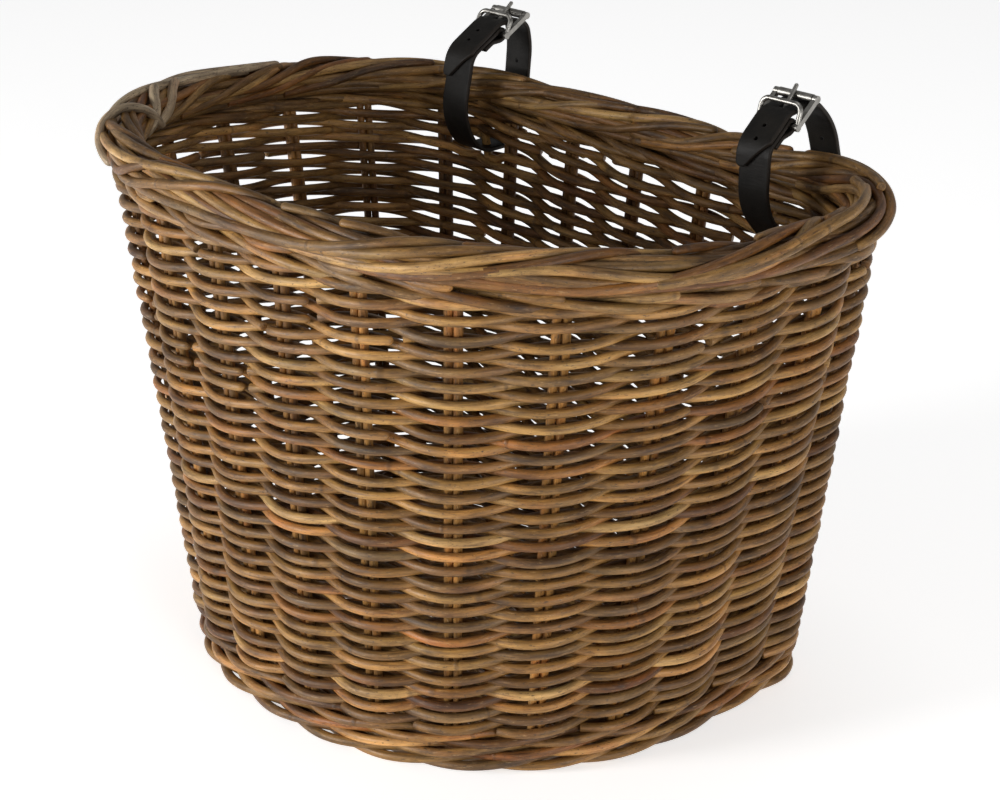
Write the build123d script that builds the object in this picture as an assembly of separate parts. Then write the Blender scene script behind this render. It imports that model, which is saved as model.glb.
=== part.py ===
from build123d import *
import math
import os

# Handlebar basket of round rattan rod, D-shaped in plan, hung by two buckled leather straps.
# Millimetres. +Z is up, +X is the rider's right when the flat back (+Y) hangs on the bar.
# The origin is under the middle of the whole part, on the surface that the foot stands on.

# ---------------------------------------------------------------- driving dimensions
STRAP_REACH = 10.0                    # how far the straps stand out behind the rim border
SHIFT_Y = -STRAP_REACH / 2            # keeps the origin under the middle of the whole part

RIM_WIDTH, RIM_DEPTH = 380.0, 268.0   # along the border's centreline
RIM_CORNER, RIM_SHOULDER, RIM_BOW = 86.0, 140.0, 10.0    # back corner, front corner, bow in degrees
RIM_HEIGHT = 259.5                    # border centreline above the foot, at mid depth
RIM_DROP = 3.15                       # degrees that the rim falls towards the back
BORDER_RADIUS = 11.0

BASE_WIDTH, BASE_DEPTH = 292.0, 221.0
BASE_CORNER, BASE_SHOULDER, BASE_BOW = 26.0, 132.0, 6.0
BASE_BACK = 102.5                     # the base's flat back, before SHIFT_Y

STAKE_PAIRS = 23
ROD_RADIUS = 2.1                      # upright stakes and base sticks
ROD_PITCH = 4.5                       # centre to centre of the two rods of a pair
WALL_HALF = 7.1                       # mid-surface to the outside of the weave
GAP_HALF = 2.5                        # mid-surface to the weave's faces beside the stakes
POINTS_PER_STAKE = 5

FOOT_HEIGHT = 22.0
STAKE_LOW = 22.9                      # where the stakes start, just above the foot border
FOOT_HALF = 7.6
BAND_SPLIT = 0.55                     # where one band of weaving ends and the next starts
WEAVE_TOP = 0.954
BASE_EDGE_GAP = 8.2                   # wall mid-surface to the base's edge
BASE_SKIN = 4.2
BASE_LIFT = 4.0
BASE_STICKS = 7
BASE_STICK_STEP = 36.0
SLIP = 0.2                            # gap between solids of the basket that touch

STRAP_X = 111.0
STRAP_WIDTH = 18.6
LEATHER = 2.4
LAYER_GAP = 0.25
SLOT_WIDTH = 21.0
SLOT_LOW, SLOT_HIGH = -37.5, -26.5    # height of the opening under the border's centreline

BAR_RADIUS = 1.25                     # centre bar and roller bar of the buckle
WIRE_RADIUS = 1.3                     # the buckle's bent wire
REAR_ARM = 18.0                       # centre bar to roller bar
FRONT_ARM = 11.0                      # centre bar to keeper bar
ARM_SPREAD = 34.0                     # degrees between the two arms
ARM_X = 11.9                          # middle of each arm from the strap's middle
ROLLER_RADIUS = 2.2
RUNNING = 0.06                        # radial clearance of the roller and the prong on their bars
PRONG_RADIUS = 1.1
PRONG_WIDTH = 3.4
PRONG_LENGTH = 21.0
FOLD_RADIUS = BAR_RADIUS + LEATHER / 2 + 0.35
RIVET_RADIUS = 1.5
RIVET_AT = -11.2                      # along the strap from the centre bar
RIVET_HEAD = 2.6                      # radius of the head and of the washer
RIVET_HEAD_DEPTH = 0.6
WASHER_DEPTH = 0.8
HOLE_RADIUS = 1.1                     # spare holes for the prong
SPARE_HOLES = (-7.0, -15.0)           # along the strap from the centre bar
LEG_HOLE_AT = 0.67                    # share of the way up the loop's outer leg
NOSE_LENGTH, NOSE_BLUNT = 9.0, 2.2    # the point of the free end, and half its blunt tip
FOLD_SLOT, FOLD_SLOT_P, FOLD_SLOT_Q = 11.0, 1.6, -0.6       # length and middle of the fold's slot
PRONG_HOLE, PRONG_HOLE_P, PRONG_HOLE_Q = 9.6, 7.4, 1.2      # length and middle of the prong's hole
CUT_DEPTH = 7.2
KNEE_RADIUS = 11.0                    # where the inner leg turns down from the buckle

BACK_Y = RIM_DEPTH / 2 * math.cos(math.radians(RIM_DROP)) + SHIFT_Y
BACK_Z = RIM_HEIGHT - RIM_DEPTH / 2 * math.sin(math.radians(RIM_DROP))


# ---------------------------------------------------------------- the D outline and the wall
def d_outline(width, depth, corner, shoulder, bow, back):
    """A closed D: flat back at y = back, round back corners, short sides, round shoulders, bowed front.
    It starts at the middle of the back and runs clockwise seen from above."""
    half = width / 2
    bow_radius = shoulder + (half - shoulder) / math.sin(math.radians(bow))
    shoulder_y = back - depth + bow_radius - (bow_radius - shoulder) * math.cos(math.radians(bow))
    parts = [Line((0, back), (half - corner, back))]

    def bend(radius, angle):
        parts.append(JernArc(parts[-1] @ 1, parts[-1] % 1, radius, -angle))

    bend(corner, 90)
    parts.append(Line(parts[-1] @ 1, (half, shoulder_y)))
    bend(shoulder, 90 - bow)
    bend(bow_radius, 2 * bow)
    bend(shoulder, 90 - bow)
    parts.append(Line(parts[-1] @ 1, (-half, back - corner)))
    bend(corner, 90)
    parts.append(Line(parts[-1] @ 1, (0, back)))
    return Wire(parts)


BASE_LINE = d_outline(
    BASE_WIDTH, BASE_DEPTH, BASE_CORNER, BASE_SHOULDER, BASE_BOW, BASE_BACK
).moved(Location((0, SHIFT_Y, 0)))
RIM_LINE = d_outline(
    RIM_WIDTH, RIM_DEPTH, RIM_CORNER, RIM_SHOULDER, RIM_BOW, RIM_DEPTH / 2
).moved(Location((0, SHIFT_Y, RIM_HEIGHT), (-RIM_DROP, 0, 0)))


def on_line(line, share):
    """The point, and the outward direction in plan, at a share of the line's length."""
    length = (share % 1.0) * line.length
    along = line.tangent_at(length, position_mode=PositionMode.LENGTH)
    outward = Vector(-along.Y, along.X, 0).normalized()
    return line.position_at(length, position_mode=PositionMode.LENGTH), outward


def wall_point(share, level, offset=0.0):
    """A point of the wall: share runs round it, level is 0 at the foot and 1 at the border.
    Each level is a plane, which tilts from flat at the foot to the rim's own tilt."""
    low, low_out = on_line(BASE_LINE, share)
    high, high_out = on_line(RIM_LINE, share)
    slope = math.tan(math.radians(RIM_DROP)) * level
    plane_z = RIM_HEIGHT * level + slope * SHIFT_Y
    rise = (plane_z - slope * low.Y) / (high.Z + slope * (high.Y - low.Y))
    outward = (low_out * (1 - rise) + high_out * rise).normalized()
    at = low + (high - low) * rise + outward * offset
    return Vector(at.X, at.Y, plane_z - slope * at.Y)


def wall_section(level, offset):
    """The closed curve at one level and offset. Equal shares have equal parameters, so that
    a ruled surface between two sections runs along the stakes."""
    count = STAKE_PAIRS * POINTS_PER_STAKE
    points = [wall_point(i / count, level, offset) for i in range(count)]
    shares = [i / count for i in range(count + 1)]
    return Wire([Edge.make_spline(points, periodic=True, parameters=shares)])


def wall_ring(low, high, inner, outer):
    """A closed band of the wall between two levels and two offsets."""
    reach = 0.004
    shell = Solid.make_loft([wall_section(low, outer), wall_section(high, outer)], ruled=True)
    hollow = Solid.make_loft(
        [wall_section(low - reach, inner), wall_section(high + reach, inner)], ruled=True
    )
    return shell - hollow


def rod(start, end, radius):
    return Solid.make_cylinder(radius, (end - start).length, Plane(origin=start, z_dir=end - start))


# ---------------------------------------------------------------- basket
def strap_openings():
    """What is cut out of the wall, between two rows, for the two straps to pass."""
    height = SLOT_HIGH - SLOT_LOW
    middle = BACK_Z + (SLOT_HIGH + SLOT_LOW) / 2
    slots = [Pos(x, BACK_Y, middle) * Box(SLOT_WIDTH, 60, height) for x in (-STRAP_X, STRAP_X)]
    return slots[0] + slots[1]


def weave_band(low, high, inner, outer):
    return wall_ring(low, high, inner, outer) - strap_openings()


def stake_pair(index):
    """Two upright rods side by side in the middle of the wall."""
    rods = []
    for side in (-1, 1):
        ends = []
        for level in (STAKE_LOW / RIM_HEIGHT, WEAVE_TOP):
            girth = BASE_LINE.length * (1 - level) + RIM_LINE.length * level
            ends.append(wall_point(index / STAKE_PAIRS + side * ROD_PITCH / 2 / girth, level))
        rods.append(rod(*ends, ROD_RADIUS))
    return Compound(rods)


def rim_border():
    path = RIM_LINE
    section = Plane(origin=path @ 0, z_dir=path % 0) * Circle(BORDER_RADIUS)
    return sweep(section, path)


def base_plate(low, high):
    """A level plate that fills the inside of the wall between two heights."""
    level = (low + high) / 2 / RIM_HEIGHT
    count = STAKE_PAIRS * POINTS_PER_STAKE
    edge = [wall_point(i / count, level, -BASE_EDGE_GAP) for i in range(count)]
    outline = Spline([Vector(p.X, p.Y, low) for p in edge], periodic=True)
    return extrude(Face(Wire([outline])), high - low, dir=(0, 0, 1))


def base_sticks():
    """Rods from front to back, between the base's two layers of weaving."""
    height = BASE_LIFT + BASE_SKIN + SLIP + ROD_RADIUS
    room = base_plate(height - ROD_RADIUS - SLIP, height + ROD_RADIUS + SLIP)
    sticks = []
    for i in range(BASE_STICKS):
        x = (i - (BASE_STICKS - 1) / 2) * BASE_STICK_STEP
        long_rod = rod(Vector(x, -200, height), Vector(x, 200, height), ROD_RADIUS)
        sticks.append((long_rod & room).solid())
    return Compound(sticks)


# ---------------------------------------------------------------- straps and buckles
# Each strap lies in a plane across the rim: (y, z) are measured from the border's centreline.
# A buckle has its own axes at its centre bar: p towards the roller, q away from the loop.
class Buckle:
    def __init__(self, y, z, angle):
        self.y, self.z, self.angle = y, z, angle

    def at(self, p, q):
        c, s = math.cos(math.radians(self.angle)), math.sin(math.radians(self.angle))
        return (self.y + p * c - q * s, self.z + p * s + q * c)


def meet(a, b, c, d):
    """Where the line a-b crosses the line c-d."""
    r, s = (b[0] - a[0], b[1] - a[1]), (d[0] - c[0], d[1] - c[1])
    t = ((c[0] - a[0]) * s[1] - (c[1] - a[1]) * s[0]) / (r[0] * s[1] - r[1] * s[0])
    return (a[0] + t * r[0], a[1] + t * r[1])


def beside(a, b, distance):
    """The segment a-b moved to its left."""
    length = math.hypot(b[0] - a[0], b[1] - a[1])
    n = (-(b[1] - a[1]) / length * distance, (b[0] - a[0]) / length * distance)
    return (a[0] + n[0], a[1] + n[1]), (b[0] + n[0], b[1] + n[1])


def strap_route(buckle, loop, tip_share):
    """The leather's middle line from the riveted end, round the loop, to the free tip, with its radii."""
    layer = LEATHER + LAYER_GAP
    fold = FOLD_RADIUS
    along = (buckle.at(0, fold), buckle.at(-20, fold))
    leg = loop[:2]
    inner_knee = meet(*along, *leg)
    outer_leg = beside(*leg, -layer)
    knee = meet(*beside(*along, -layer), *outer_leg)
    tip = tuple(k + (low - top) * tip_share for k, top, low in zip(knee, *outer_leg))
    points = [
        buckle.at(-14.0, fold - layer),
        buckle.at(-7.5, fold - layer),
        buckle.at(-1.8, -fold),
        buckle.at(fold, -fold),
        buckle.at(fold, fold),
    ]
    radii = [6.0, 5.0, fold * 0.97, fold * 0.97]
    points += [inner_knee, *loop[1:]]
    radii += [KNEE_RADIUS, 32.0, 17.0, 14.0, 45.0, 40.0]
    points += [buckle.at(REAR_ARM + 2, -5.6), buckle.at(2.4, fold + layer + 0.3), knee, tip]
    radii += [9.0, 12.0, KNEE_RADIUS + layer]
    return points, radii


def place(x, y, z):
    return Vector(x, BACK_Y + y, BACK_Z + z)


def pin(x, buckle, p, q, radius, length):
    """A round bar across the strap, centred on it."""
    y, z = buckle.at(p, q)
    return rod(place(x - length / 2, y, z), place(x + length / 2, y, z), radius)


def block(x, buckle, p, q, size_x, size_p, size_q):
    y, z = buckle.at(p, q)
    return Location(place(x, y, z), (buckle.angle, 0, 0)) * Box(size_x, size_p, size_q)


def across(x, buckle, p, q_low, q_high, radius):
    """A round bar through the leather's thickness."""
    return rod(place(x, *buckle.at(p, q_low)), place(x, *buckle.at(p, q_high)), radius)


def strap_side(points, radii, distance):
    """The route moved to its left by a distance, as points and radii."""
    moved = [beside(a, b, distance) for a, b in zip(points, points[1:])]
    corners = [meet(*before, *after) for before, after in zip(moved, moved[1:])]
    turns = [radius - distance for radius in radii]
    turns[0] = radii[0] + distance      # the one corner that turns the other way
    return [moved[0][0], *corners, moved[-1][1]], turns


def leather_band(x, points, radii):
    """Leather of even thickness, bent along its route."""
    edges = []
    for distance in (-LEATHER / 2, LEATHER / 2):
        corners, turns = strap_side(points, radii, distance)
        edges.append(FilletPolyline([place(x - STRAP_WIDTH / 2, y, z) for y, z in corners], radius=turns))
    ends = [Line(edges[0] @ end, edges[1] @ end) for end in (0, 1)]
    outline = Wire([*edges[0].edges(), ends[1], *edges[1].edges(), ends[0]])
    return extrude(Face(outline), STRAP_WIDTH, dir=(1, 0, 0))


def nose_corners(x, points):
    """The two corners that are cut off the free end, which leaves it pointed."""
    before, tip = [Vector(place(x, *point)) for point in points[-2:]]
    sideways = Vector(1, 0, 0)
    face = Plane(origin=tip, x_dir=sideways, z_dir=(tip - before).cross(sideways))
    edge = STRAP_WIDTH / 2 + 1
    wedges = [
        face * Polygon((side * edge, 1), (side * edge, -NOSE_LENGTH), (side * NOSE_BLUNT, 1), align=None)
        for side in (-1, 1)
    ]
    return [extrude(wedge, LEATHER, both=True) for wedge in wedges]


def leg_hole(x, loop):
    """A spare hole through the outer leg of the loop."""
    (low_y, low_z), (high_y, high_z) = loop[-2:]
    low, high = place(x, low_y, low_z), place(x, high_y, high_z)
    middle = low + (high - low) * LEG_HOLE_AT
    through = (high - low).cross(Vector(1, 0, 0)).normalized() * (2 * LEATHER)
    return rod(middle - through, middle + through, HOLE_RADIUS)


def leather_strap(x, buckle, loop, tip_share):
    points, radii = strap_route(buckle, loop, tip_share)
    face_q = FOLD_RADIUS + LEATHER / 2      # outer face of the layer that lies on the buckle
    strap = leather_band(x, points, radii)
    for corner in nose_corners(x, points):
        strap -= corner
    # slot in the fold for the prong, and the oblong hole that the prong stands in
    strap -= block(x, buckle, FOLD_SLOT_P, FOLD_SLOT_Q, PRONG_WIDTH + 0.8, FOLD_SLOT, CUT_DEPTH)
    strap -= block(x, buckle, PRONG_HOLE_P, PRONG_HOLE_Q, 2 * PRONG_RADIUS + 1.0, PRONG_HOLE, CUT_DEPTH)
    for p in SPARE_HOLES:
        strap -= across(x, buckle, p, face_q + 0.15, face_q + CUT_DEPTH, HOLE_RADIUS)
    strap -= leg_hole(x, loop)
    # the rivet's hole, and the sunk seat of its head
    strap -= across(x, buckle, RIVET_AT, -CUT_DEPTH, face_q, RIVET_RADIUS + 0.05)
    strap -= across(x, buckle, RIVET_AT, face_q - RIVET_HEAD_DEPTH - 0.15, face_q + 0.1, RIVET_HEAD + 0.1)
    return strap


def strap_rivet(x, buckle):
    """Shank through both layers, a head sunk in the upper one and a washer under the lower one."""
    outer = FOLD_RADIUS + LEATHER / 2 - 0.1
    inner = FOLD_RADIUS - LEATHER - LAYER_GAP - LEATHER / 2 - 0.02
    shank = across(x, buckle, RIVET_AT, inner, outer, RIVET_RADIUS)
    head = across(x, buckle, RIVET_AT, outer - RIVET_HEAD_DEPTH, outer, RIVET_HEAD)
    washer = across(x, buckle, RIVET_AT, inner - WASHER_DEPTH, inner, RIVET_HEAD)
    return shank + head + washer


def buckle_frame(x, buckle):
    """Centre bar, roller bar with its two arms, and the wire that the free end is tucked under."""
    front_p = FRONT_ARM * math.cos(math.radians(ARM_SPREAD))
    front_q = FRONT_ARM * math.sin(math.radians(ARM_SPREAD))
    corners = [(-ARM_X, 0, 0), (-ARM_X, front_p, front_q), (ARM_X, front_p, front_q), (ARM_X, 0, 0)]
    path = FilletPolyline([place(x + dx, *buckle.at(p, q)) for dx, p, q in corners], radius=4.0)
    frame = sweep(Plane(origin=path @ 0, z_dir=path % 0) * Circle(WIRE_RADIUS), path)
    frame += pin(x, buckle, 0, 0, BAR_RADIUS, 2 * ARM_X)
    frame += pin(x, buckle, REAR_ARM, 0, BAR_RADIUS - 0.05, 2 * ARM_X)
    for side in (-1, 1):
        arm_x = x + side * ARM_X
        for p in (0, REAR_ARM):
            frame += pin(arm_x, buckle, p, 0, 1.9, 2 * WIRE_RADIUS)
        frame += block(arm_x, buckle, REAR_ARM / 2, 0, 2 * WIRE_RADIUS, REAR_ARM, 2.6)
    return frame


def buckle_roller(x, buckle):
    length = 2 * (ARM_X - WIRE_RADIUS) - 0.8
    sleeve = pin(x, buckle, REAR_ARM, 0, ROLLER_RADIUS, length)
    return sleeve - pin(x, buckle, REAR_ARM, 0, BAR_RADIUS - 0.05 + RUNNING, length + 2)


def buckle_prong(x, buckle):
    """An eye round the centre bar and a tongue that rests on the roller."""
    rest_q = ROLLER_RADIUS + PRONG_RADIUS + 0.15
    lift = math.degrees(math.asin(rest_q / REAR_ARM))
    turned = Buckle(buckle.y, buckle.z, buckle.angle + lift)
    eye = pin(x, buckle, 0, 0, BAR_RADIUS + RUNNING + 1.2, PRONG_WIDTH)
    start = place(x, *turned.at(BAR_RADIUS + 0.8, 0))
    end = place(x, *turned.at(PRONG_LENGTH, 0))
    tongue = rod(start, end, PRONG_RADIUS)
    tip = Pos(*end) * Sphere(PRONG_RADIUS)
    return eye + tongue + tip - pin(x, buckle, 0, 0, BAR_RADIUS + RUNNING, PRONG_WIDTH + 2)


STRAPS = {
    # buckle (y, z, angle), corners of the loop, how far down the free end reaches
    "left": (
        -STRAP_X,
        Buckle(-2.0, 32.0, 28.7),
        [(-24.5, 19.5), (-31.5, -13.0), (-17.0, -31.8), (12.0, -31.8), (18.0, -8.0), (21.0, 22.0)],
        0.42,
    ),
    "right": (
        STRAP_X,
        Buckle(-26.2, 30.2, 38.7),
        [(-41.5, 17.5), (-42.5, -10.0), (-22.0, -31.8), (12.0, -31.8), (17.0, -4.0), (8.0, 25.0)],
        0.42,
    ),
}


# ---------------------------------------------------------------- every piece, by node name
def write(name, shape):
    export_step(shape, f"parts/{name}.step")


def make_basket():
    low = (FOOT_HEIGHT + SLIP) / RIM_HEIGHT
    bands = {
        "lower": (low, BAND_SPLIT - 0.0005),
        "upper": (BAND_SPLIT + 0.0005, WEAVE_TOP),
    }
    for band, (start, end) in bands.items():
        write(f"weave_{band}_outside", weave_band(start, end, GAP_HALF, WALL_HALF))
        write(f"weave_{band}_inside", weave_band(start, end, -WALL_HALF, -GAP_HALF))
    for index in range(STAKE_PAIRS):
        write(f"stake_pair_{index + 1:02d}", stake_pair(index))
    write("rim_border", rim_border())
    write("foot_border", wall_ring(0.0, FOOT_HEIGHT / RIM_HEIGHT, -FOOT_HALF, FOOT_HALF))
    sticks_high = BASE_LIFT + BASE_SKIN + 2 * (ROD_RADIUS + SLIP)
    write("base_weave_under", base_plate(BASE_LIFT, BASE_LIFT + BASE_SKIN))
    write("base_sticks", base_sticks())
    write("base_weave_top", base_plate(sticks_high, sticks_high + BASE_SKIN))


def make_straps():
    for side, (x, buckle, loop, tip_share) in STRAPS.items():
        write(f"strap_{side}", leather_strap(x, buckle, loop, tip_share))
        write(f"strap_rivet_{side}", strap_rivet(x, buckle))
        write(f"buckle_frame_{side}", buckle_frame(x, buckle))
        write(f"buckle_roller_{side}", buckle_roller(x, buckle))
        write(f"buckle_prong_{side}", buckle_prong(x, buckle))


os.makedirs("parts", exist_ok=True)
make_basket()
make_straps()
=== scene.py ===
import math

import bpy
import numpy as np
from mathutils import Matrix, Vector


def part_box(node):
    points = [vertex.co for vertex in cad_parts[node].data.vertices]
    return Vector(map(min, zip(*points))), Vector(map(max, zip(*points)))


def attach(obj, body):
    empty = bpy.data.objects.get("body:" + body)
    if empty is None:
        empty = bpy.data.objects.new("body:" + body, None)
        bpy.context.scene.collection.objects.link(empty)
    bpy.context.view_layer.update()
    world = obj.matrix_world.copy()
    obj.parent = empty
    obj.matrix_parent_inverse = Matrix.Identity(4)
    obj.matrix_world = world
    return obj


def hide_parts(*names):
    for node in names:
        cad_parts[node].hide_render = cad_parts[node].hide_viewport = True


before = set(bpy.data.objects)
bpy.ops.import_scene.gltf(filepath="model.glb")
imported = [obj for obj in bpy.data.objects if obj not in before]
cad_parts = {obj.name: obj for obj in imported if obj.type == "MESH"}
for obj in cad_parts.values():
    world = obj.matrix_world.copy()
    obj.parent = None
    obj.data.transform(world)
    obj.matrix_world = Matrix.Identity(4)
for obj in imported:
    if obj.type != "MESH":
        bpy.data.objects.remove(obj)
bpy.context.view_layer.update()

# A handlebar basket: rods woven round the CAD stakes, a rim border of crossing rods, a waled foot, a woven
# base, leather straps and metal buckles. Lengths are in millimetres until a mesh is made.
rng = np.random.default_rng(7)
MM = 0.001

# ---------------------------------------------------------------- the wall, as in the CAD source
STAKES = 23                     # u counts stake gaps round the wall, from the middle of the flat back
SHIFT_Y = -5.0
RIM = dict(width=380.0, depth=268.0, corner=86.0, shoulder=140.0, bow=10.0, back=134.0)
BASE = dict(width=292.0, depth=221.0, corner=26.0, shoulder=132.0, bow=6.0, back=102.5)
RIM_HEIGHT = 259.5
RIM_DROP = math.radians(3.15)   # the rim is lower at the back
OUTLINE_SAMPLES = 240           # points along each straight run or arc


def outline(width, depth, corner, shoulder, bow, back):
    """A D from the middle of its flat back, clockwise from above, as rows of length, x, y and heading."""
    half, bow = width / 2, math.radians(bow)
    bow_radius = shoulder + (half - shoulder) / math.sin(bow)
    shoulder_y = back - depth + bow_radius - (bow_radius - shoulder) * math.cos(bow)
    flat = (half - corner, 0)
    turn = (corner * math.pi / 2, corner)
    side = (back - corner - shoulder_y, 0)
    round_off = (shoulder * (math.pi / 2 - bow), shoulder)
    front = (2 * bow * bow_radius, bow_radius)
    rows, at, x, y, heading = [], 0.0, 0.0, back, 0.0
    for length, radius in (flat, turn, side, round_off, front, round_off, side, turn, flat):
        d = np.linspace(0, length, OUTLINE_SAMPLES)
        if radius:
            a = heading - d / radius
            px = x + radius * (math.sin(heading) - np.sin(a))
            py = y + radius * (np.cos(a) - math.cos(heading))
        else:
            a = np.full_like(d, heading)
            px, py = x + d * math.cos(heading), y + d * math.sin(heading)
        rows.append(np.stack([at + d, px, py, a]))
        at, x, y, heading = at + length, px[-1], py[-1], a[-1]
    return np.concatenate(rows, axis=1)


BASE_LINE, RIM_LINE = outline(**BASE), outline(**RIM)


def along(line, u):
    """x, y and heading of an outline at stake position u."""
    turns = np.floor(u / STAKES)
    s = (u / STAKES - turns) * line[0, -1]
    x, y, a = (np.interp(s, line[0], line[i]) for i in (1, 2, 3))
    return x, y, a


def wall(u, height, offset):
    """Points at stake position u and a height up the wall, offset outwards from its middle surface."""
    u, height, offset = np.broadcast_arrays(*(np.asarray(value, float) for value in (u, height, offset)))
    level = height / RIM_HEIGHT
    lx, ly, la = along(BASE_LINE, u)
    ly = ly + SHIFT_Y
    rx, ry, ra = along(RIM_LINE, u)
    rz = RIM_HEIGHT - ry * math.sin(RIM_DROP)
    ry = ry * math.cos(RIM_DROP) + SHIFT_Y
    slope = math.tan(RIM_DROP) * level
    plane = RIM_HEIGHT * level + slope * SHIFT_Y
    rise = (plane - slope * ly) / (rz + slope * (ry - ly))
    ox = -np.sin(la) * (1 - rise) - np.sin(ra) * rise
    oy = np.cos(la) * (1 - rise) + np.cos(ra) * rise
    size = np.hypot(ox, oy)
    x = lx + (rx - lx) * rise + ox / size * offset
    y = ly + (ry - ly) * rise + oy / size * offset
    return np.stack([x, y, plane - slope * y], axis=-1)


def rim_section(u, angle, radius):
    """Points round the rim border's centre line. Angle 0 is outwards, 90 degrees is up."""
    x, y, a = along(RIM_LINE, np.asarray(u, float))
    out = np.stack([-np.sin(a), np.cos(a)], axis=-1)
    reach = (radius * np.cos(angle))[..., None] * out
    lift = radius * np.sin(angle)
    px, py = x + reach[..., 0], y + reach[..., 1]
    c, s = math.cos(RIM_DROP), math.sin(RIM_DROP)
    return np.stack([px, py * c + lift * s + SHIFT_Y, RIM_HEIGHT - py * s + lift * c], axis=-1)


def ease(f):
    """Turns a straight climb from 0 to 1 into a smooth one."""
    return f * f * (3 - 2 * f)


def bell(count):
    """Smoothing weights that add up to 1."""
    return np.hanning(count) / np.hanning(count).sum()


# ---------------------------------------------------------------- rods as meshes
TIPS = {                        # angles of the rings that close an end, how far they reach and draw in
    "round": ((35, 62, 82), 1.0, 1.0),
    "flat": ((40, 70, 88), 0.16, 0.22),
}
TIP_RINGS = 3


def tube_faces(rings, sides):
    """Faces of a closed tube whose points come ring by ring."""
    i, j = np.meshgrid(np.arange(rings - 1), np.arange(sides), indexing="ij")
    after = (j + 1) % sides
    corners = [i * sides + j, i * sides + after, (i + 1) * sides + after, (i + 1) * sides + j]
    faces = np.stack(corners, axis=-1).reshape(-1, 4).tolist()
    faces.append(list(range(sides))[::-1])
    faces.append([(rings - 1) * sides + k for k in range(sides)])
    return faces


def smooth_mesh(name, co, faces, material, **vectors):
    """An object with smooth faces and one vector attribute per keyword, linked to the scene."""
    mesh = bpy.data.meshes.new(name)
    mesh.from_pydata((co * MM).tolist(), [], faces)
    mesh.polygons.foreach_set("use_smooth", np.ones(len(mesh.polygons), bool))
    for key, values in vectors.items():
        data = mesh.attributes.new(key, "FLOAT_VECTOR", "POINT")
        data.data.foreach_set("vector", values.astype(np.float32).ravel())
    mesh.materials.append(material)
    mesh.update()
    made = bpy.data.objects.new(name, mesh)
    bpy.context.scene.collection.objects.link(made)
    return made


class Rods:
    """Collects round rods into one mesh, with the grain's own coordinates and a tint per rod."""

    def __init__(self, sides=10):
        self.sides = sides
        self.co, self.grain, self.tint, self.faces, self.count = [], [], [], [], 0

    def add(self, points, radius, start="round", end="round", tint=None):
        """A rod along points. start and end are keys of TIPS, or None on a rod that closes on itself."""
        points = np.asarray(points, float)
        radius = np.broadcast_to(np.asarray(radius, float), (len(points),)).copy()
        if start:
            points, radius = self.tip(points[::-1], radius[::-1], start)
            points, radius = points[::-1], radius[::-1]
        if end:
            points, radius = self.tip(points, radius, end)
        tangent = np.gradient(points, axis=0)
        if end:
            tangent[-TIP_RINGS - 1:] = tangent[-TIP_RINGS - 2]
        if start:
            tangent[:TIP_RINGS + 1] = tangent[TIP_RINGS + 1]
        tangent /= np.linalg.norm(tangent, axis=1)[:, None] + 1e-12
        side = np.cross(tangent, np.array([0.0, 0.0, 1.0]))
        side /= np.linalg.norm(side, axis=1)[:, None] + 1e-12
        lift = np.cross(side, tangent)
        a = np.arange(self.sides) / self.sides * 2 * math.pi
        ring = np.cos(a)[None, :, None] * side[:, None] + np.sin(a)[None, :, None] * lift[:, None]
        co = points[:, None] + ring * radius[:, None, None]
        s = np.concatenate([[0], np.cumsum(np.linalg.norm(np.diff(points, axis=0), axis=1))])
        seed = rng.uniform(0, 900)
        full = radius.max()
        grain = np.stack([
            np.broadcast_to(s[:, None], co.shape[:2]) + seed * 1000,
            np.broadcast_to(np.cos(a)[None] * full, co.shape[:2]),
            np.broadcast_to(np.sin(a)[None] * full, co.shape[:2])], axis=-1)
        tint = rng.uniform(0, 1, 3) if tint is None else np.asarray(tint, float)
        size = len(points) * self.sides
        self.faces += [[self.count + k for k in face] for face in tube_faces(len(points), self.sides)]
        self.co.append(co.reshape(-1, 3))
        self.grain.append(grain.reshape(-1, 3))
        self.tint.append(np.broadcast_to(tint, (size, 3)))
        self.count += size

    @staticmethod
    def tip(points, radius, kind):
        """Adds rings that close the far end: a dome, or a cut with a small rounded edge."""
        angles, reach, shrink = TIPS[kind]
        direction = points[-1] - points[-2]
        direction /= np.linalg.norm(direction) + 1e-12
        last = radius[-1]
        bends = np.radians(angles)
        more = [points[-1] + direction * last * reach * math.sin(b) for b in bends]
        radii = [last * (1 - shrink + shrink * math.cos(b)) for b in bends]
        return np.vstack([points, more]), np.concatenate([radius, radii])

    def make(self, name, material):
        return smooth_mesh(name, np.concatenate(self.co), self.faces, material,
                           grain=np.concatenate(self.grain), tint=np.concatenate(self.tint))


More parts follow.
